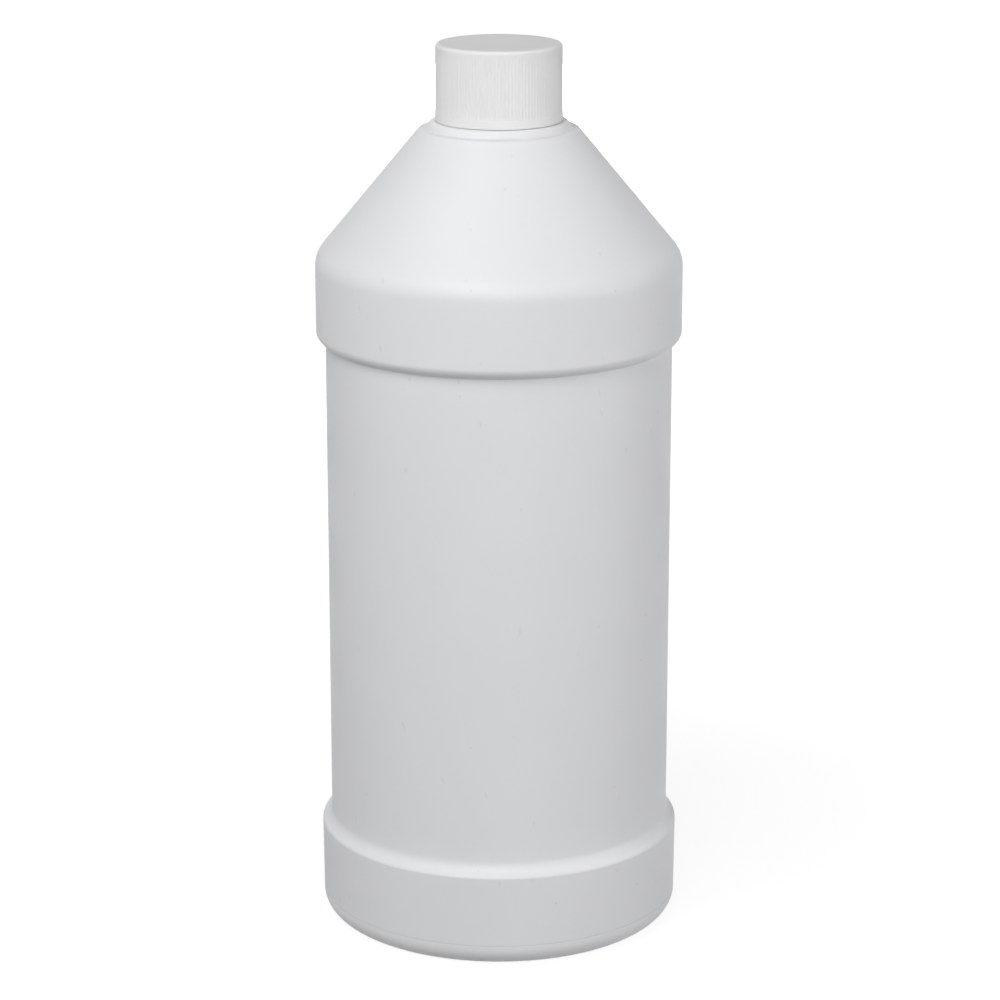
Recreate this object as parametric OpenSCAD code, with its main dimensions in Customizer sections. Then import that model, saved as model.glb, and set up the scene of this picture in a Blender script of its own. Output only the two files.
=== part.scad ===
// Round blow-moulded bottle with a recessed label panel and a conical shoulder,
// closed by a fine-ribbed screw cap over a foam sealing disc.
// Millimetres, +Z up, the bottle stands on z = 0 with its axis on Z.

/* [Body] */
// Outside diameter of the shoulder band and of the base band
body_d = 88.4; // [70:0.2:110]
// Depth of the label panel below the two bands
panel_recess = 2.3; // [1:0.1:4]
// Height of the straight label panel between its two ends
panel_h = 120.7; // [60:0.1:180]
// Wall thickness of the blown body
wall = 1.1; // [0.8:0.05:2]

/* [Base] */
// Height of the base band up to its rim
base_band_h = 23.4; // [14:0.1:40]
// How far the base band draws in towards the foot, on the radius
base_draft = 0.2; // [0:0.05:1.5]
// Round between the base band and the standing ring
foot_r = 4.8; // [2:0.1:8]
// Width of the flat standing ring
stand_w = 2.5; // [1:0.1:6]
// Rise of the hollow under the base
push_up = 3.5; // [1:0.1:8]
// Radial run of the slope from the standing ring to the hollow
push_run = 9; // [4:0.5:20]
// Rounds at both ends of that slope
push_r = 4; // [1:0.5:10]
// Height of the slope from the rim of the base band in to the panel
rim_rise = 1.2; // [1:0.05:6]
// Round on the rim of the base band
rim_r = 1.2; // [0.5:0.1:6]
// Hollow round where the slope runs out into the panel
rim_root_r = 4; // [0.5:0.1:8]

/* [Pinch-off seam] */
// Length of the seam left by the mould across the hollow of the base
pinch_l = 46; // [20:1:60]
// Width of the seam
pinch_w = 0.8; // [0.4:0.1:2]
// Height of the seam below the hollow
pinch_h = 0.4; // [0.2:0.05:1]

/* [Shoulder] */
// Height of the undercut slope from the panel out to the shoulder band
undercut_rise = 2.3; // [1:0.05:6]
// Crease between the panel and the undercut slope
crease_r = 0.3; // [0.1:0.05:1]
// Round on the lower edge of the shoulder band
band_edge_r = 1.8; // [0.5:0.1:4]
// Height of the shoulder band between its lower edge and the cone
band_h = 19; // [8:0.1:40]
// Round between the shoulder band and the cone
shoulder_r = 7.4; // [2:0.1:14]
// Rise of the cone above the horizontal, in degrees
cone_angle = 50.5; // [35:0.1:65]
// Outside diameter at the top of the cone
cone_top_d = 38.2; // [36:0.1:50]

/* [Neck] */
// Radial step from the top of the cone in to the neck ring
ring_step = 1.4; // [0.4:0.05:2]
// Height of the neck ring
ring_h = 1.8; // [1:0.1:4]
// How far the neck ring draws in towards its top, on the radius
ring_draw = 1.4; // [0.3:0.05:2]
// Round on the upper edge of the neck ring
ring_edge_r = 0.9; // [0.2:0.05:1.5]
// Small rounds at the foot of the neck ring and of the neck
ring_root_r = 0.8; // [0.1:0.05:0.8]
// Diameter of the neck behind its thread
neck_d = 25.1; // [22:0.1:28]
// Height of the thread ridge above the neck, on the radius
thread_h = 1.05; // [0.6:0.05:1.5]
// Diameter of the bore through the neck
bore_d = 21; // [16:0.1:22]
// Wall under the neck ring, measured down from its top
throat_wall = 1.6; // [1:0.1:3]
// Rounds inside the throat
throat_r = 2; // [0.5:0.1:4]
// Round on both edges of the neck lip
lip_edge_r = 0.4; // [0.1:0.05:0.8]

/* [Cap] */
// Height of the cap over its flat top
cap_h = 18.35; // [14:0.05:30]
// Thickness of the top of the cap
cap_top_t = 1.5; // [1:0.1:3]
// Wall of the cap skirt, ribs included
cap_wall = 1.15; // [1:0.05:2.5]
// Gap on the radius between the neck thread and the inside of the cap
thread_clear = 0.3; // [0.15:0.05:0.6]
// Gap between the neck ring and the foot of the closed cap
cap_gap = 0.1; // [0.1:0.05:1]
// Round on the top edge of the cap
cap_edge_r = 0.9; // [0.4:0.1:3]
// Height of the plain band at the foot of the cap
cap_band_h = 1.9; // [1:0.1:5]
// How far the plain band stands out from the ribs, on the radius
cap_band_out = 0.15; // [0.05:0.05:0.6]
// Round on the lower outside edge of the cap
cap_foot_r = 0.2; // [0.1:0.05:0.8]
// Lead-in chamfer at the mouth of the cap
cap_lead = 0.4; // [0.1:0.05:0.8]
// Number of ribs round the skirt
rib_count = 114; // [60:1:160]
// Depth of the flutes between the ribs
rib_depth = 0.2; // [0.1:0.05:0.5]
// Share of the rib pitch that a crest takes
rib_crest = 0.42; // [0.2:0.02:0.6]

/* [Seal] */
// Thickness of the sealing disc
liner_t = 1; // [0.5:0.1:2]
// Gap on the radius between the sealing disc and the cap
liner_clear = 0.3; // [0.1:0.05:1]

/* [Hidden] */
$fn = 72;
// Turn per step along a rounded corner, in degrees
arc_step = 11;
// Share of a straight run that the rounds at its two ends may take
corner_share = 0.98;
// Depth by which the ring of ribs is sunk into the skirt, and its ends into the plain bands
rib_sink = 0.15;
// Radial set-back of the rib crests from the plain upper edge
rib_set = 0.04;
body_r = body_d / 2;
panel_r = body_r - panel_recess;
foot_x = body_r - base_draft;
stand_x = foot_x - foot_r - stand_w;
panel_z0 = base_band_h + rim_rise;
panel_z1 = panel_z0 + panel_h;
band_z0 = panel_z1 + undercut_rise;
band_z1 = band_z0 + band_h;
cone_x = cone_top_d / 2;
cone_z = band_z1 + (body_r - cone_x) * tan(cone_angle);
ring_x = cone_x - ring_step;
ring_z = cone_z + ring_h;
neck_r = neck_d / 2;
bore_r = bore_d / 2;
cap_z0 = ring_z + cap_gap;
cap_z1 = cap_z0 + cap_h;
cap_in_z = cap_z1 - cap_top_t;
lip_z = cap_in_z - liner_t;
cap_bore_r = neck_r + thread_h + thread_clear;
cap_r = cap_bore_r + cap_wall;
rib_z0 = cap_z0 + cap_band_h;
rib_z1 = cap_z1 - cap_edge_r;
rib_tip = cap_r - rib_set;
rib_root = rib_tip - rib_depth;
skirt_r = rib_root - rib_sink;
liner_r = cap_bore_r - liner_clear;
throat_z = ring_z - throat_wall;
// Inside cone line, one wall in from the outside, at the height of the throat
throat_x = cone_x + (cone_z - throat_z) / tan(cone_angle) - wall / sin(cone_angle);

// Corners of the outside, from the middle of the base up to the lip: radius, height, round
OUTSIDE = [
  [0, push_up, 0],
  [stand_x - push_run, push_up, push_r],
  [stand_x, 0, push_r],
  [foot_x, 0, foot_r],
  [body_r, base_band_h, rim_r],
  [panel_r, panel_z0, rim_root_r],
  [panel_r, panel_z1, crease_r],
  [body_r, band_z0, band_edge_r],
  [body_r, band_z1, shoulder_r],
  [cone_x, cone_z, ring_root_r],
  [ring_x, cone_z, ring_root_r],
  [ring_x - ring_draw, ring_z, ring_edge_r],
  [neck_r, ring_z, ring_root_r],
  [neck_r, lip_z, lip_edge_r],
  [bore_r, lip_z, lip_edge_r],
];
// The corners up to this one carry the blown wall
BLOWN = 8;

function unit(v) = v / norm(v);
function flat(p) = [p[0], p[1]];
function left(d) = [-d[1], d[0]];
function heading(path, i) = unit(flat(path[i + 1]) - flat(path[i]));
function bend(a, b) = a[0] * b[1] - a[1] * b[0];

// One corner moved in by the wall, with its round changed to keep the wall even
function inset(path, i) =
  let(a = heading(path, i - 1), b = heading(path, i))
  let(shift = (left(a) + left(b)) * wall / (1 + a * b))
  let(r = path[i][2] - sign(bend(a, b)) * wall)
  [path[i][0] + shift[0], path[i][1] + shift[1], max(r, 0)];

// Length that the round of one corner takes along the straight runs beside it
function reach(path, i) =
  i == 0 || i == len(path) - 1 ? 0 :
  path[i][2] * tan(acos(max(-1, min(1, heading(path, i - 1) * heading(path, i)))) / 2);

// That length where the run to one neighbour is shared with the neighbour's round
function shared(path, i, j) =
  norm(flat(path[j]) - flat(path[i])) * corner_share * reach(path, i) / (reach(path, i) + reach(path, j));

// Points along one rounded corner, limited to the straight runs beside it
function corner(path, i) =
  let(a = heading(path, i - 1), b = heading(path, i), p = flat(path[i]))
  let(turn = acos(max(-1, min(1, a * b))), side = sign(bend(a, b)))
  reach(path, i) < 0.01 ? [p] :
  let(run = min(reach(path, i), shared(path, i, i - 1), shared(path, i, i + 1)))
  let(r = run / tan(turn / 2), c = p - a * run + left(a) * side * r)
  let(from = p - a * run - c, n = max(2, ceil(turn / arc_step)))
  [for (k = [0:n]) let(t = side * turn * k / n)
    c + [from[0] * cos(t) - from[1] * sin(t), from[0] * sin(t) + from[1] * cos(t)]];

// A path with every corner but its two ends rounded
function rounded(path) = [
  flat(path[0]),
  for (i = [1:len(path) - 2]) each corner(path, i),
  flat(path[len(path) - 1]),
];

// Inside of the blown wall, then the throat and the bore, from the middle of the base up
function inside() = [
  [0, push_up + wall, 0],
  for (i = [1:BLOWN]) inset(OUTSIDE, i),
  [throat_x, throat_z, throat_r],
  [bore_r, throat_z, throat_r],
  [bore_r, lip_z, 0],
];

function reversed(list) = [for (i = [len(list) - 1:-1:0]) list[i]];

// The lip's inner edge is the last rounded corner of the outside, so the bore starts just below it
function lip_run() = [for (p = OUTSIDE) p, [bore_r, lip_z - 2 * lip_edge_r, 0]];

module bottle() {
  color([0.93, 0.93, 0.92]) {
    rotate_extrude()
      polygon(concat(rounded(lip_run()), reversed(drop_last(rounded(inside())))));
    translate([-pinch_l / 2, -pinch_w / 2, push_up - pinch_h])
      cube([pinch_l, pinch_w, pinch_h + wall / 2]);
  }
}

function drop_last(list) = [for (i = [0:len(list) - 2]) list[i]];

// Ring of ribs: crest and root points taken round the circle
function rib_points() = [
  for (i = [0:rib_count - 1])
    for (q = [
      [rib_tip, -rib_crest], [rib_tip, rib_crest],
      [rib_root, 1 - rib_crest], [rib_root, 1 + rib_crest],
    ])
      let(t = (i + q[1] / 2) * 360 / rib_count)
      q[0] * [cos(t), sin(t)]
];

// Section of the cap without its ribs, from the middle of the top round to the inside
CAP_OUTSIDE = [
  [0, cap_z1, 0],
  [cap_r, cap_z1, cap_edge_r],
  [cap_r, rib_z1, 0],
  [skirt_r, rib_z1, 0],
  [skirt_r, rib_z0, 0],
  [cap_r + cap_band_out, rib_z0, cap_foot_r],
  [cap_r + cap_band_out, cap_z0, cap_foot_r],
  [cap_bore_r + cap_lead, cap_z0, 0],
  [cap_bore_r, cap_z0 + cap_lead, 0],
  [cap_bore_r, cap_in_z, 0],
  [0, cap_in_z, 0],
];

module screw_cap() {
  color([0.96, 0.96, 0.96]) {
    rotate_extrude()
      polygon(rounded(CAP_OUTSIDE));
    translate([0, 0, rib_z0 - rib_sink])
      linear_extrude(rib_z1 - rib_z0 + 2 * rib_sink)
        difference() {
          polygon(rib_points());
          circle(r = skirt_r - rib_sink);
        }
  }
}

module cap_liner() {
  color([0.9, 0.9, 0.88])
    translate([0, 0, lip_z])
      cylinder(r = liner_r, h = liner_t);
}

bottle();
screw_cap();
cap_liner();
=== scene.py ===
import math

import bmesh
import bpy
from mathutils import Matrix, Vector


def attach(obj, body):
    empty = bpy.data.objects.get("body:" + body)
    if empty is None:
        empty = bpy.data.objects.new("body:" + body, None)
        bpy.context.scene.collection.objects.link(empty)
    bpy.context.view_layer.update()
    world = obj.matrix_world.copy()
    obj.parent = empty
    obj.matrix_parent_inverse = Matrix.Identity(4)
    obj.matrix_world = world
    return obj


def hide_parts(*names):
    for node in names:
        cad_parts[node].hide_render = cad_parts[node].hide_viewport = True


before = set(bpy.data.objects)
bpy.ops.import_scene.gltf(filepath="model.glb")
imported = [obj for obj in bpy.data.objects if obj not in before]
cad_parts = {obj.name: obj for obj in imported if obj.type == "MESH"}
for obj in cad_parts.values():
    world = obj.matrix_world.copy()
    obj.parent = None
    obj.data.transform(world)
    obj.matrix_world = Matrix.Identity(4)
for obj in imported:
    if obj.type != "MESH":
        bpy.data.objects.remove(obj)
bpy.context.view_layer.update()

MM = 0.001

# Body, in millimetres: as in the solid, but for a tighter undercut below the shoulder band
BODY_R = 44.2
PANEL_R = 41.9
FOOT_X = 44.0
STAND_X = 36.7
WALL = 1.1
BASE_BAND = 23.4
PANEL_FOOT = 24.6
PANEL_TOP = 145.6
BAND_FOOT = 147.05
BAND_TOP = 166.6
CONE_X = 19.1
CONE_ANGLE = math.radians(50.5)
CONE_TOP = BAND_TOP + (BODY_R - CONE_X) * math.tan(CONE_ANGLE)
RING_X = 17.7
RING_SLOPE = 1.4
RING_TOP = CONE_TOP + 1.8
THROAT = RING_TOP - 1.6
THROAT_ROUND = 2
NECK_R = 12.55
BORE_R = 10.5
PUSH_UP = 3.5
PUSH_X = 27.7
BODY_STEPS = 192

# Line of the mould's base insert: its height, its groove as height off the line and depth, and
# the distance from the axis that marks the side of the foot
INSERT_LINE = 5.5
INSERT_GROOVE = [
    (-0.25, 0), (-0.13, 0), (-0.07, -0.01), (-0.03, -0.04),
    (0.03, -0.04), (0.07, -0.01), (0.13, 0), (0.25, 0),
]
FOOT_SIDE = 43

# Pinch-off seam in the hollow of the base
SEAM_LENGTH = 46
SEAM_WIDTH = 0.8
SEAM_HEIGHT = 0.9
SEAM_LIFT = 0.05
SEAM_EDGE = 0.2

# Closure, in millimetres: as in the solid, but for shallower flutes and with the thread ridges
CAP_FOOT = RING_TOP + 0.1
CAP_TOP = CAP_FOOT + 18.35
CAP_CEILING = CAP_TOP - 1.5
CAP_BORE_R = 13.9
CAP_R = 15.05
CAP_EDGE = 0.9
CAP_DRAFT = 0.1
CAP_STEP = 0.15
CAP_LEAD = 0.4
RIB_FOOT = CAP_FOOT + 1.9
RIB_TOP = CAP_TOP - CAP_EDGE
RIB_DEPTH = 0.13
RIB_COUNT = 114
SKIRT_MID_R = CAP_BORE_R + 0.5
STEPS_A_RIB = 6
LINER_R = 13.6
LINER_H = 1.0
LINER_STEPS = 96
LIP = CAP_CEILING - LINER_H
LIP_ROUND = 0.4
LIP_MARK = 0.07
MOUTH = LIP - 0.8
THREAD_PITCH = 25.4 / 6
THREAD_H = 1.05
THREAD_TURNS = 1.5
CAP_THREAD_DOWN = 2.0
THREAD_DROP = 1.9
THREAD_RUN_OUT = 0.06


# Sections of turned pieces: each corner has its distance from the axis, its height and its round

SHARP = 0.01
ROUND_SHARE = 0.98
LEAST_STEPS = 3


def unit(v):
    length = math.hypot(v[0], v[1])
    return (v[0] / length, v[1] / length)


def turn_at(path, i):
    """Headings into and out of one corner of a section, the turn between them and its side."""
    a = unit((path[i][0] - path[i - 1][0], path[i][1] - path[i - 1][1]))
    b = unit((path[i + 1][0] - path[i][0], path[i + 1][1] - path[i][1]))
    turn = math.acos(max(-1.0, min(1.0, a[0] * b[0] + a[1] * b[1])))
    return a, b, turn, 1.0 if a[0] * b[1] - a[1] * b[0] > 0 else -1.0


def reach(path, i):
    """Length that the round of one corner takes along the runs beside it."""
    if i in (0, len(path) - 1):
        return 0.0
    return path[i][2] * math.tan(turn_at(path, i)[2] / 2)


def corner(path, i, step):
    """Points along one rounded corner, limited to its share of the runs beside it."""
    p = path[i]
    a, b, turn, side = turn_at(path, i)
    wish = reach(path, i)
    if wish < SHARP:
        return [(p[0], p[1])]
    room = [
        math.dist(p[:2], path[j][:2]) * ROUND_SHARE * wish / (wish + reach(path, j))
        for j in (i - 1, i + 1)
    ]
    run = min(wish, *room)
    r = run / math.tan(turn / 2)
    cx = p[0] - a[0] * run - a[1] * side * r
    cy = p[1] - a[1] * run + a[0] * side * r
    fx, fy = p[0] - a[0] * run - cx, p[1] - a[1] * run - cy
    n = max(LEAST_STEPS, math.ceil(math.degrees(turn) / step))
    points = []
    for k in range(n + 1):
        t = side * turn * k / n
        c, s = math.cos(t), math.sin(t)
        points.append((cx + fx * c - fy * s, cy + fx * s + fy * c))
    return points


def rounded(path, step):
    """A section with every corner but its two ends rounded, in steps of so many degrees."""
    points = [path[0][:2]]
    for i in range(1, len(path) - 1):
        points += corner(path, i, step)
    return points + [path[-1][:2]]


def with_stops(points, longest):
    """Adds points along straight runs, also near their ends, to keep a round's shading on it."""
    guard = 0.3
    out = [points[0]]
    for a, b in zip(points, points[1:]):
        run = math.dist(a, b)
        stops = set()
        if run > 3 * guard:
            n = int(run // longest)
            stops = {guard / run, 1 - guard / run} | {k / (n + 1) for k in range(1, n + 1)}
        for s in sorted(stops):
            out.append((a[0] + (b[0] - a[0]) * s, a[1] + (b[1] - a[1]) * s))
        out.append(b)
    return out


def inset(path, i):
    """One corner of the outside moved in by the wall."""
    p = path[i]
    a, b, turn, side = turn_at(path, i)
    k = WALL / (1 + math.cos(turn))
    return (p[0] - (a[1] + b[1]) * k, p[1] + (a[0] + b[0]) * k, max(p[2] - side * WALL, 0.0))


# Outside of the bottle, from the middle of its base up to its mouth
OUTSIDE = [
    (0, PUSH_UP, 0),
    (PUSH_X, PUSH_UP, 4),
    (STAND_X, 0, 4),
    (FOOT_X, 0, 4.8),
    (BODY_R, BASE_BAND, 1.2),
    (PANEL_R, PANEL_FOOT, 4),
    (PANEL_R, PANEL_TOP, 0.3),
    (BODY_R, BAND_FOOT, 2.4),
    (BODY_R, BAND_TOP, 7.4),
    (CONE_X, CONE_TOP, 0.8),
    (RING_X, CONE_TOP, 0.8),
    (RING_X - RING_SLOPE, RING_TOP, 0.9),
    (NECK_R, RING_TOP, 0.8),
    (NECK_R, LIP, LIP_ROUND),
    (BORE_R, LIP, LIP_ROUND),
    (BORE_R, MOUTH, 0),
]

# Its corners with an even wall behind them, from the hollow of the base to the shoulder band
EVEN_WALL = range(1, 9)


def insert_line(points):
    """Cuts the fine line that the base insert of the mould leaves round the foot."""
    line = INSERT_LINE
    out = []
    for a, b in zip(points, points[1:]):
        out.append(a)
        if a[0] > FOOT_SIDE and a[1] < line < b[1]:
            lean = (b[0] - a[0]) / (b[1] - a[1])
            for up, deep in INSERT_GROOVE:
                out.append((a[0] + lean * (line + up - a[1]) + deep, line + up))
    return out + [points[-1]]


def bottle_section():
    outside = with_stops(insert_line(rounded(OUTSIDE, step=4.5)), longest=5)
    under_cone = CONE_X + (CONE_TOP - THROAT) / math.tan(CONE_ANGLE)
    throat_x = under_cone - WALL / math.sin(CONE_ANGLE)
    inside = [(0, PUSH_UP + WALL, 0)]
    inside += [inset(OUTSIDE, i) for i in EVEN_WALL]
    inside += [
        (throat_x, THROAT, THROAT_ROUND),
        (BORE_R, THROAT, THROAT_ROUND),
        (BORE_R, MOUTH, 0),
    ]
    inside = with_stops(rounded(inside, step=9), longest=10)
    return outside + inside[-2::-1]


def cap_section():
    """The cap from the middle of its top, with close stops where the flutes start and end."""
    stops = [RIB_TOP - s for s in (0.03, 0.3, 0.6, 0.9, 1.2, 1.6, 2.0, 2.5)]
    stops += [RIB_FOOT + s for s in (0.9, 0.7, 0.5, 0.35, 0.2, 0.1)]
    path = [(0, CAP_TOP, 0), (CAP_R, CAP_TOP, CAP_EDGE)]
    path += [(CAP_R + CAP_DRAFT * (RIB_TOP - z) / (RIB_TOP - RIB_FOOT), z, 0) for z in stops]
    path += [
        (CAP_R + CAP_DRAFT, RIB_FOOT, 0.1),
        (CAP_R + CAP_STEP, RIB_FOOT - CAP_STEP, 0.1),
        (CAP_R + CAP_STEP, CAP_FOOT, 0.2),
        (CAP_BORE_R + CAP_LEAD, CAP_FOOT, 0.05),
        (CAP_BORE_R, CAP_FOOT + CAP_LEAD, 0.05),
        (CAP_BORE_R, CAP_CEILING, 0.3),
        (0, CAP_CEILING, 0),
    ]
    return with_stops(rounded(path, step=9), longest=5)


def liner_section():
    """The disc, with the shallow ring that the lip presses into its underside."""
    top, mark = LIP + LINER_H, LIP + LIP_MARK
    path = [
        (0, top, 0),
        (LINER_R, top, 0.2),
        (LINER_R, LIP, 0.2),
        (NECK_R + 0.2, LIP, 0.1),
        (NECK_R - 0.2, mark, 0.1),
        (BORE_R + 0.3, mark, 0.1),
        (BORE_R - 0.1, LIP, 0.1),
        (0, LIP, 0),
    ]
    return with_stops(rounded(path, step=12), longest=4)


def thread_ridge():
    """Section of the thread: how far it stands out and how far it lies along the axis."""
    half, tip, sunk, ease, lean = 1.1, 0.4, 0.15, 0.1, 0.08
    return [
        (-sunk, -half),
        (THREAD_H - ease, -tip - lean),
        (THREAD_H, -tip + ease),
        (THREAD_H, tip - ease),
        (THREAD_H - ease, tip + lean),
        (-sunk, half),
    ]


# Node trees

def wire(tree, value, socket):
    """Links a socket to another one, or gives it a plain value."""
    if isinstance(value, bpy.types.NodeSocket):
        tree.links.new(value, socket)
    else:
        socket.default_value = value


class Tree:
    """A geometry node tree with named inputs, a mesh output and a short way to add nodes."""

    def __init__(self, name, inputs):
        self.tree = bpy.data.node_groups.new(name, "GeometryNodeTree")
        face = self.tree.interface
        self.keys = {}
        for label, kind in inputs:
            socket = face.new_socket(label, in_out="INPUT", socket_type="NodeSocket" + kind)
            self.keys[label] = socket.identifier
        face.new_socket("Mesh", in_out="OUTPUT", socket_type="NodeSocketGeometry")
        self.given = self.tree.nodes.new("NodeGroupInput").outputs

    def add(self, kind, setting=None, **wires):
        made = self.tree.nodes.new(kind)
        for key, value in (setting or {}).items():
            setattr(made, key, value)
        for name, value in wires.items():
            name = name.replace("_", " ")
            wire(self.tree, value, next(s for s in made.inputs if s.name == name and s.enabled))
        return made.outputs[0]

    def calc(self, operation, a, b=0.0):
        made = self.tree.nodes.new("ShaderNodeMath")
        made.operation = operation
        for socket, value in zip(made.inputs, (a, b)):
            wire(self.tree, value, socket)
        return made.outputs[0]

    def close(self, mesh):
        """Ends the tree in plain smooth geometry with its finish."""
        smooth = self.add("GeometryNodeSetShadeSmooth", Geometry=mesh)
        plain = self.add("GeometryNodeRealizeInstances", Geometry=smooth)
        finish = self.given["Finish"]
        dressed = self.add("GeometryNodeSetMaterial", Geometry=plain, Material=finish)
        end = self.tree.nodes.new("NodeGroupOutput")
        self.tree.links.new(dressed, end.inputs[0])

    def run(self, obj, values):
        """Shapes an object with the tree and leaves the result as its plain mesh."""
        modifier = obj.modifiers.new("shape", "NODES")
        modifier.node_group = self.tree
        for label, value in values.items():
            modifier[self.keys[label]] = value
        graph = bpy.context.evaluated_depsgraph_get()
        mesh = bpy.data.meshes.new_from_object(obj.evaluated_get(graph))
        obj.modifiers.clear()
        obj.data = mesh
        mesh.name = obj.name
        return obj


def turned_wall():
    """A section carried once round the upright axis."""
    made = Tree("turned_wall", [
        ("Section", "Geometry"), ("Steps Round", "Int"), ("Finish", "Material"),
    ])
    given = made.given
    guide_r, weld, upright = 0.001, 2e-6, (math.pi / 2, 0, 0)
    steps = given["Steps Round"]
    guide = made.add("GeometryNodeCurvePrimitiveCircle", Resolution=steps, Radius=guide_r)
    guide = made.add("GeometryNodeSetCurveNormal", {"mode": "Z_UP"}, Curve=guide)
    laid = made.add("GeometryNodeTransform", Geometry=given["Section"], Rotation=upright)
    laid = made.add("GeometryNodeTransform", Geometry=laid, Translation=(-guide_r, 0, 0))
    section = made.add("GeometryNodeMeshToCurve", Mesh=laid)
    wall = made.add("GeometryNodeCurveToMesh", Curve=guide, Profile_Curve=section)
    made.close(made.add("GeometryNodeMergeByDistance", Geometry=wall, Distance=weld))
    return made


def fluted_skirt():
    """Fine upright flutes pressed into the outside of a turned shell between two heights."""
    made = Tree("fluted_skirt", [
        ("Shell", "Geometry"), ("Count", "Int"), ("Depth", "Float"), ("Lowest", "Float"),
        ("Highest", "Float"), ("Inner Radius", "Float"), ("Finish", "Material"),
    ])
    given, do = made.given, made.calc
    foot_fade, head_fade = 0.0007, 0.0022
    place = made.add("GeometryNodeInputPosition")
    x, y, z = made.add("ShaderNodeSeparateXYZ", Vector=place).node.outputs
    r = do("SQRT", do("ADD", do("MULTIPLY", x, x), do("MULTIPLY", y, y)))
    turn = do("MULTIPLY", do("ARCTAN2", y, x), given["Count"])
    wave = do("SUBTRACT", 0.5, do("MULTIPLY", do("COSINE", turn), 0.5))
    smooth = {"interpolation_type": "SMOOTHSTEP"}
    above = do("SUBTRACT", z, given["Lowest"])
    below = do("SUBTRACT", given["Highest"], z)
    foot = made.add("ShaderNodeMapRange", smooth, Value=above, From_Max=foot_fade)
    head = made.add("ShaderNodeMapRange", smooth, Value=below, From_Max=head_fade)
    outer = do("GREATER_THAN", r, given["Inner Radius"])
    depth = do("MULTIPLY", do("MULTIPLY", wave, given["Depth"]), outer)
    press = do("DIVIDE", do("MULTIPLY", depth, do("MULTIPLY", foot, head)), r)
    inwards = do("MULTIPLY", press, -1.0)
    offset = made.add(
        "ShaderNodeCombineXYZ", X=do("MULTIPLY", x, inwards), Y=do("MULTIPLY", y, inwards))
    made.close(made.add("GeometryNodeSetPosition", Geometry=given["Shell"], Offset=offset))
    return made


def rolled_thread():
    """A ridge that climbs round the upright axis and runs out at both ends."""
    made = Tree("rolled_thread", [
        ("Ridge", "Geometry"), ("Radius", "Float"), ("Turns", "Float"), ("Pitch", "Float"),
        ("Lowest", "Float"), ("Run Out", "Float"), ("Finish", "Material"),
    ])
    given = made.given
    steps, thinnest = 96, 0.03
    height = made.calc("MULTIPLY", given["Turns"], given["Pitch"])
    guide = made.add(
        "GeometryNodeCurveSpiral", Resolution=steps, Rotations=given["Turns"], Height=height,
        Start_Radius=given["Radius"], End_Radius=given["Radius"], Reverse=True,
    )
    guide = made.add("GeometryNodeSetCurveNormal", {"mode": "Z_UP"}, Curve=guide)
    along = made.add("GeometryNodeSplineParameter")
    rise = made.calc("DIVIDE", along, given["Run Out"])
    fall = made.calc("DIVIDE", made.calc("SUBTRACT", 1.0, along), given["Run Out"])
    scale = made.calc("MINIMUM", made.calc("MINIMUM", rise, fall), 1.0)
    scale = made.calc("MAXIMUM", scale, thinnest)
    ridge = made.add("GeometryNodeMeshToCurve", Mesh=given["Ridge"])
    body = made.add(
        "GeometryNodeCurveToMesh", Curve=guide, Profile_Curve=ridge, Scale=scale, Fill_Caps=True)
    lift = made.add("ShaderNodeCombineXYZ", Z=given["Lowest"])
    made.close(made.add("GeometryNodeTransform", Geometry=body, Translation=lift))
    return made


# Shaders

# Colour of the scuffs, and of the painted shade along the insert line of the foot
SCUFF_AND_SHADE = (0.35, 0.35, 0.34, 1)
DUST = (0.3, 0.3, 0.29, 1)
WHITE = (1, 1, 1, 1)


def node(tree, kind, setting=None, wires=None):
    made = tree.nodes.new(kind)
    for key, value in (setting or {}).items():
        setattr(made, key, value)
    for key, value in (wires or {}).items():
        wire(tree, value, made.inputs[key])
    return made


def calc(tree, operation, a, b=0.0, clamp=False):
    setting = {"operation": operation, "use_clamp": clamp}
    return node(tree, "ShaderNodeMath", setting, {0: a, 1: b}).outputs[0]


def ramp(tree, value, low, high, to_low=0.0, to_high=1.0):
    made = node(tree, "ShaderNodeMapRange", {"interpolation_type": "SMOOTHSTEP"}, {
        "Value": value, "From Min": low, "From Max": high, "To Min": to_low, "To Max": to_high})
    return made.outputs[0]


def blend(tree, share, first, second):
    """The first colour with a share of the second."""
    made = node(tree, "ShaderNodeMix", {"data_type": "RGBA"}, {
        "Factor": share, 6: first, 7: second})
    return made.outputs[2]


def noise(tree, place, scale, detail):
    return node(tree, "ShaderNodeTexNoise", None, {
        "Vector": place, "Scale": scale, "Detail": detail}).outputs


def shader_group(name, inputs, outputs):
    group = bpy.data.node_groups.new(name, "ShaderNodeTree")
    face = group.interface
    for label, kind, value in inputs:
        socket = face.new_socket(label, in_out="INPUT", socket_type="NodeSocket" + kind)
        if value is not None:
            socket.default_value = value
    for label in outputs:
        face.new_socket(label, in_out="OUTPUT", socket_type="NodeSocketFloat")
    given = group.nodes.new("NodeGroupInput").outputs
    return group, given, group.nodes.new("NodeGroupOutput").inputs


def moulded_grain():
    """Fine grain of the mould and the slow ripple of a cooled wall."""
    group, given, out = shader_group("moulded_grain", [
        ("Place", "Vector", None), ("Grain", "Float", 1800.0),
        ("Ripple", "Float", 45.0), ("Grain Share", "Float", 0.15),
    ], ["Height", "Gloss", "Tone"])
    low, high = 0.3, 0.7
    fine = noise(group, given["Place"], given["Grain"], 2.0)[0]
    slow = noise(group, given["Place"], given["Ripple"], 1.5)[0]
    cloud = noise(group, given["Place"], 70.0, 4.0)[0]
    grain = calc(group, "MULTIPLY", fine, given["Grain Share"])
    wire(group, calc(group, "ADD", grain, slow), out["Height"])
    wire(group, ramp(group, cloud, low, high), out["Gloss"])
    wire(group, ramp(group, slow, low, high), out["Tone"])
    return group


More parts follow.
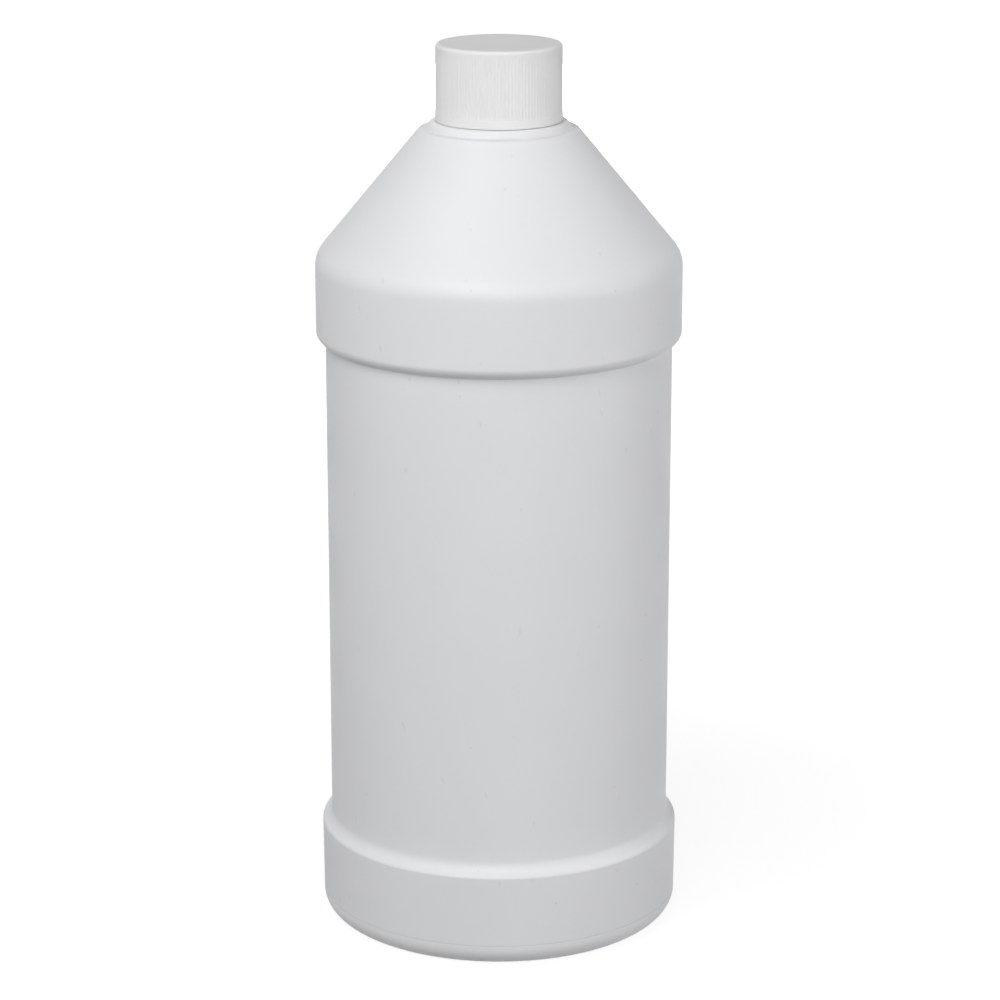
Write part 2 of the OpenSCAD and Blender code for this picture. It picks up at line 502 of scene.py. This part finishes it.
def stray_specks():
    """Sparse dots on a pale surface."""
    group, given, out = shader_group("stray_specks", [
        ("Place", "Vector", None), ("Cells", "Float", 150.0),
        ("Dot", "Float", 0.07), ("Share", "Float", 0.2),
    ], ["Mask"])
    cells = node(group, "ShaderNodeTexVoronoi", None, {
        "Vector": given["Place"], "Scale": given["Cells"]})
    near = ramp(group, cells.outputs["Distance"], 0.0, given["Dot"], 1.0, 0.0)
    pick = node(group, "ShaderNodeSeparateColor", None, {"Color": cells.outputs["Color"]})
    chosen = calc(group, "LESS_THAN", pick.outputs[0], given["Share"])
    wire(group, calc(group, "MULTIPLY", near, chosen), out["Mask"])
    return group


GRAIN = moulded_grain()
SPECKS = stray_specks()


def blank_material(name):
    material = bpy.data.materials.new(name)
    material.use_nodes = True
    tree = material.node_tree
    tree.nodes.clear()
    shader = tree.nodes.new("ShaderNodeBsdfPrincipled")
    out = tree.nodes.new("ShaderNodeOutputMaterial")
    tree.links.new(shader.outputs[0], out.inputs["Surface"])
    place = tree.nodes.new("ShaderNodeTexCoord").outputs["Object"]
    return material, tree, shader, place


def painted_crease_shade(tree, place, colour):
    """Darkens the insert line round the foot with painted shade, the shade of the crease in its
    groove.
    """
    core, edge, strength = 0.00008, 0.0003, 0.16
    height = node(tree, "ShaderNodeSeparateXYZ", None, {0: place}).outputs["Z"]
    off = calc(tree, "ABSOLUTE", calc(tree, "SUBTRACT", height, INSERT_LINE * MM))
    return blend(tree, ramp(tree, off, core, edge, strength, 0.0), colour, SCUFF_AND_SHADE)


def scuffed(tree, place, colour):
    """Faint short scuffs that run any way over the wall."""
    swing, draw, strength = (0.03, 0.03, 0.03), (1.0, 1.0, 0.35), 0.16
    drift = noise(tree, place, 30.0, 1.0)["Color"]
    swung = node(tree, "ShaderNodeVectorMath", {"operation": "MULTIPLY_ADD"}, {
        0: drift, 1: swing, 2: place}).outputs[0]
    drawn = node(tree, "ShaderNodeVectorMath", {"operation": "MULTIPLY"}, {
        0: swung, 1: draw}).outputs[0]
    marks = node(tree, "ShaderNodeGroup", {"node_tree": SPECKS}, {
        "Place": drawn, "Cells": 330.0, "Dot": 0.17, "Share": 0.26}).outputs["Mask"]
    return blend(tree, calc(tree, "MULTIPLY", marks, strength), colour, SCUFF_AND_SHADE)


def parting_line(tree, place, height):
    """Adds the fine ridge where the two halves of the mould met."""
    core, edge = 0.00005, 0.0003
    across = node(tree, "ShaderNodeSeparateXYZ", None, {0: place}).outputs["Y"]
    ridge = ramp(tree, calc(tree, "ABSOLUTE", across), core, edge, 1.0, 0.0)
    return calc(tree, "ADD", height, ridge)


def plastic(name, colour, rough, ripple, depth, blown, body):
    """Moulded plastic with grain, ripple and dust; a blown wall has scuffs, the ridge of the
    parting line and painted shade along the insert line too.
    """
    dark, dust, smoothest, roughest = 0.985, 0.22, rough - 0.03, rough + 0.05
    material, tree, shader, place = blank_material(name)
    grain = node(tree, "ShaderNodeGroup", {"node_tree": GRAIN}, {
        "Place": place, "Ripple": ripple}).outputs
    specks = node(tree, "ShaderNodeGroup", {"node_tree": SPECKS}, {"Place": place}).outputs
    tone = blend(tree, grain["Tone"], (*[c * dark for c in colour], 1), (*colour, 1))
    surface_colour = blend(tree, calc(tree, "MULTIPLY", specks["Mask"], dust), tone, DUST)
    height = grain["Height"]
    if blown:
        # Scuffs, then painted shade that darkens the insert line round the foot
        surface_colour = painted_crease_shade(tree, place, scuffed(tree, place, surface_colour))
        height = parting_line(tree, place, height)
    wire(tree, surface_colour, shader.inputs["Base Color"])
    gloss = ramp(tree, grain["Gloss"], 0, 1, smoothest, roughest)
    wire(tree, gloss, shader.inputs["Roughness"])
    bump = node(tree, "ShaderNodeBump", None, {
        "Height": height, "Strength": 1.0, "Distance": depth})
    wire(tree, bump.outputs[0], shader.inputs["Normal"])
    for key, value in body.items():
        shader.inputs[key].default_value = value
    return material


def bottle_plastic():
    return plastic(
        "bottle_plastic", (0.852, 0.86, 0.876),
        rough=0.45, ripple=38.0, depth=0.00006, blown=True,
        body={
            "IOR": 1.53,
            "Specular IOR Level": 0.4,
            "Subsurface Weight": 0.15,
            "Subsurface Radius": (1.0, 1.0, 0.95),
            "Subsurface Scale": 0.002,
        },
    )


def cap_plastic():
    return plastic(
        "cap_plastic", (0.88, 0.88, 0.88),
        rough=0.5, ripple=60.0, depth=0.00003, blown=False,
        body={
            "IOR": 1.49,
            "Specular IOR Level": 0.25,
            "Subsurface Weight": 0.3,
            "Subsurface Radius": (1.0, 1.0, 1.0),
            "Subsurface Scale": 0.0012,
        },
    )


def liner_foam():
    material, tree, shader, place = blank_material("liner_foam")
    pore, web = (0.8, 0.8, 0.78, 1), (0.86, 0.86, 0.84, 1)
    smoothest, roughest = 0.7, 0.85
    cells = node(tree, "ShaderNodeTexVoronoi", None, {
        "Vector": place, "Scale": 2600.0}).outputs["Distance"]
    wire(tree, blend(tree, cells, pore, web), shader.inputs["Base Color"])
    wire(tree, ramp(tree, cells, 0, 1, smoothest, roughest), shader.inputs["Roughness"])
    bump = node(tree, "ShaderNodeBump", None, {"Height": cells, "Distance": 0.00008})
    wire(tree, bump.outputs[0], shader.inputs["Normal"])
    return material


# Pieces

def piece(name, points, loop=False, upright=True):
    """An object whose mesh is one chain of edges, in the upright plane or flat."""
    mesh = bpy.data.meshes.new(name)
    at = [(x * MM, 0, y * MM) if upright else (x * MM, y * MM, 0) for x, y in points]
    edges = [(i, i + 1) for i in range(len(at) - 1)]
    if loop:
        edges.append((len(at) - 1, 0))
    mesh.from_pydata(at, edges, [])
    obj = bpy.data.objects.new(name, mesh)
    bpy.context.scene.collection.objects.link(obj)
    return obj


def face_outwards(obj):
    work = bmesh.new()
    work.from_mesh(obj.data)
    bmesh.ops.recalc_face_normals(work, faces=work.faces)
    work.to_mesh(obj.data)
    work.free()


def settle(obj, body, node_name=None):
    face_outwards(obj)
    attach(obj, body)
    if node_name:
        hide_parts(node_name)


def pinch_seam(finish):
    """The weld that the closed mould leaves across the hollow of the base."""
    work = bmesh.new()
    bmesh.ops.create_cube(work, size=1)
    for v in work.verts:
        height = PUSH_UP + SEAM_LIFT + v.co.z * SEAM_HEIGHT
        v.co = Vector((v.co.x * SEAM_LENGTH * MM, v.co.y * SEAM_WIDTH * MM, height * MM))
    bmesh.ops.bevel(
        work, geom=work.edges[:], offset=SEAM_EDGE * MM, segments=2, affect="EDGES", profile=0.5)
    mesh = bpy.data.meshes.new("base_pinch_seam")
    work.to_mesh(mesh)
    work.free()
    mesh.materials.append(finish)
    for face in mesh.polygons:
        face.use_smooth = True
    obj = bpy.data.objects.new("base_pinch_seam", mesh)
    bpy.context.scene.collection.objects.link(obj)
    return obj


def make_object():
    white = bottle_plastic()
    bright = cap_plastic()
    foam = liner_foam()
    wall = turned_wall()
    thread = rolled_thread()
    ridge = thread_ridge()

    def turned(name, section, steps, finish):
        return wall.run(piece(name, section), {"Steps Round": steps, "Finish": finish})

    def threaded(name, section, radius, turns_down, finish):
        return thread.run(piece(name, section, loop=True, upright=False), {
            "Radius": radius * MM, "Turns": THREAD_TURNS, "Pitch": THREAD_PITCH * MM,
            "Lowest": (LIP - THREAD_DROP - turns_down * THREAD_PITCH) * MM,
            "Run Out": THREAD_RUN_OUT, "Finish": finish})

    bottle = turned("bottle_wall", bottle_section(), BODY_STEPS, white)
    settle(bottle, "bottle", "bottle")
    settle(pinch_seam(white), "bottle")
    neck = threaded("neck_thread", ridge, NECK_R, THREAD_TURNS, white)
    settle(neck, "bottle")

    cap = turned("cap_shell", cap_section(), STEPS_A_RIB * RIB_COUNT, bright)
    fluted_skirt().run(cap, {
        "Count": RIB_COUNT, "Depth": RIB_DEPTH * MM,
        "Lowest": RIB_FOOT * MM, "Highest": RIB_TOP * MM,
        "Inner Radius": SKIRT_MID_R * MM, "Finish": bright})
    settle(cap, "cap", "screw_cap")
    inward = [(-x, y) for x, y in ridge]
    inner = threaded("cap_thread", inward, CAP_BORE_R, CAP_THREAD_DOWN, bright)
    settle(inner, "cap")

    liner = turned("liner_disc", liner_section(), LINER_STEPS, foam)
    settle(liner, "liner", "cap_liner")


# Stage

MIDDLE = Vector((0, 0, 0.11))


def lamp(name, azimuth, elevation, distance, width, height, power, mirrored=True):
    """A soft box that faces the bottle; azimuth 0 is the camera's side, to the right positive."""
    a, e = math.radians(azimuth), math.radians(elevation)
    back = Vector((math.sin(a) * math.cos(e), -math.cos(a) * math.cos(e), math.sin(e)))
    data = bpy.data.lights.new(name, "AREA")
    data.shape = "RECTANGLE"
    data.size, data.size_y = width, height
    data.energy = power
    obj = bpy.data.objects.new(name, data)
    obj.visible_glossy = mirrored
    obj.location = MIDDLE + back * distance
    obj.rotation_mode = "QUATERNION"
    obj.rotation_quaternion = back.to_track_quat("Z", "Y")
    bpy.context.scene.collection.objects.link(obj)


def seen_ray(tree):
    path = tree.nodes.new("ShaderNodeLightPath").outputs
    both = calc(tree, "MAXIMUM", path["Is Camera Ray"], path["Is Glossy Ray"])
    return calc(tree, "MAXIMUM", both, path["Is Transmission Ray"])


def make_world(fill, ground):
    """A white surround that lights like a tent, least from above, over a pale table's bounce."""
    world = bpy.data.worlds.new("studio")
    bpy.context.scene.world = world
    world.use_nodes = True
    tree = world.node_tree
    tree.nodes.clear()
    steep, overhead = 0.7, fill * 0.1
    heading = tree.nodes.new("ShaderNodeTexCoord").outputs["Generated"]
    up = node(tree, "ShaderNodeSeparateXYZ", None, {0: heading}).outputs["Z"]
    tent = ramp(tree, up, 0.0, steep, fill, overhead)
    tent = calc(tree, "ADD", tent, ramp(tree, up, -steep, 0.0, ground - fill, 0.0))
    dim = node(tree, "ShaderNodeBackground", None, {"Color": WHITE, "Strength": tent})
    white = node(tree, "ShaderNodeBackground", None, {"Color": WHITE, "Strength": 1.0})
    mix = node(tree, "ShaderNodeMixShader", None, {
        0: seen_ray(tree), 1: dim.outputs[0], 2: white.outputs[0]})
    node(tree, "ShaderNodeOutputWorld", None, {"Surface": mix.outputs[0]})


def make_floor():
    """A pale floor that looks white, keeps a faint shadow and shows the underside from below."""
    mesh = bpy.data.meshes.new("floor")
    s = 4.0
    mesh.from_pydata([(-s, -s, 0), (s, -s, 0), (s, s, 0), (-s, s, 0)], [], [(0, 1, 2, 3)])
    obj = bpy.data.objects.new("floor", mesh)
    bpy.context.scene.collection.objects.link(obj)
    material = bpy.data.materials.new("floor_paper")
    material.use_nodes = True
    tree = material.node_tree
    tree.nodes.clear()
    near, far, near_glow, far_glow, paper = 0.05, 0.3, 0.88, 1.0, (0.2, 0.2, 0.2, 1)
    place = tree.nodes.new("ShaderNodeTexCoord").outputs["Object"]
    away = node(tree, "ShaderNodeVectorMath", {"operation": "LENGTH"}, {0: place})
    strength = ramp(tree, away.outputs["Value"], near, far, near_glow, far_glow)
    glow = node(tree, "ShaderNodeEmission", None, {"Color": WHITE, "Strength": strength})
    lit = node(tree, "ShaderNodeBsdfDiffuse", None, {"Color": paper})
    shown = node(tree, "ShaderNodeAddShader", None, {0: glow.outputs[0], 1: lit.outputs[0]})
    clear = node(tree, "ShaderNodeBsdfTransparent")
    under = tree.nodes.new("ShaderNodeNewGeometry").outputs["Backfacing"]
    visible = calc(tree, "SUBTRACT", seen_ray(tree), under, clamp=True)
    sides = node(tree, "ShaderNodeMixShader", None, {
        0: visible, 1: clear.outputs[0], 2: shown.outputs[0]})
    node(tree, "ShaderNodeOutputMaterial", None, {"Surface": sides.outputs[0]})
    mesh.materials.append(material)


def make_camera():
    data = bpy.data.cameras.new("camera")
    data.sensor_width = 36.0
    data.lens = 123.1
    looks_down = 15.891
    obj = bpy.data.objects.new("camera", data)
    obj.location = (0.00025, -0.80669, 0.33454)
    obj.rotation_euler = (math.radians(90 - looks_down), 0, 0)
    bpy.context.scene.collection.objects.link(obj)
    bpy.context.scene.camera = obj


make_object()
make_floor()
make_world(fill=0.3, ground=0.23)

# Azimuth, elevation, distance, width, height and power of each soft box
lamp("key_box", -28, 48, 1.0, 0.8, 0.6, 6.4)
lamp("front_box", 0, 20, 1.4, 0.9, 0.7, 4.1)
lamp("right_box", 75, 3, 0.8, 0.4, 0.25, 1.5)
lamp("back_box", 180, 0, 1.4, 0.3, 0.2, 8.5, mirrored=False)

make_camera()
bpy.context.scene.view_settings.view_transform = "Standard"
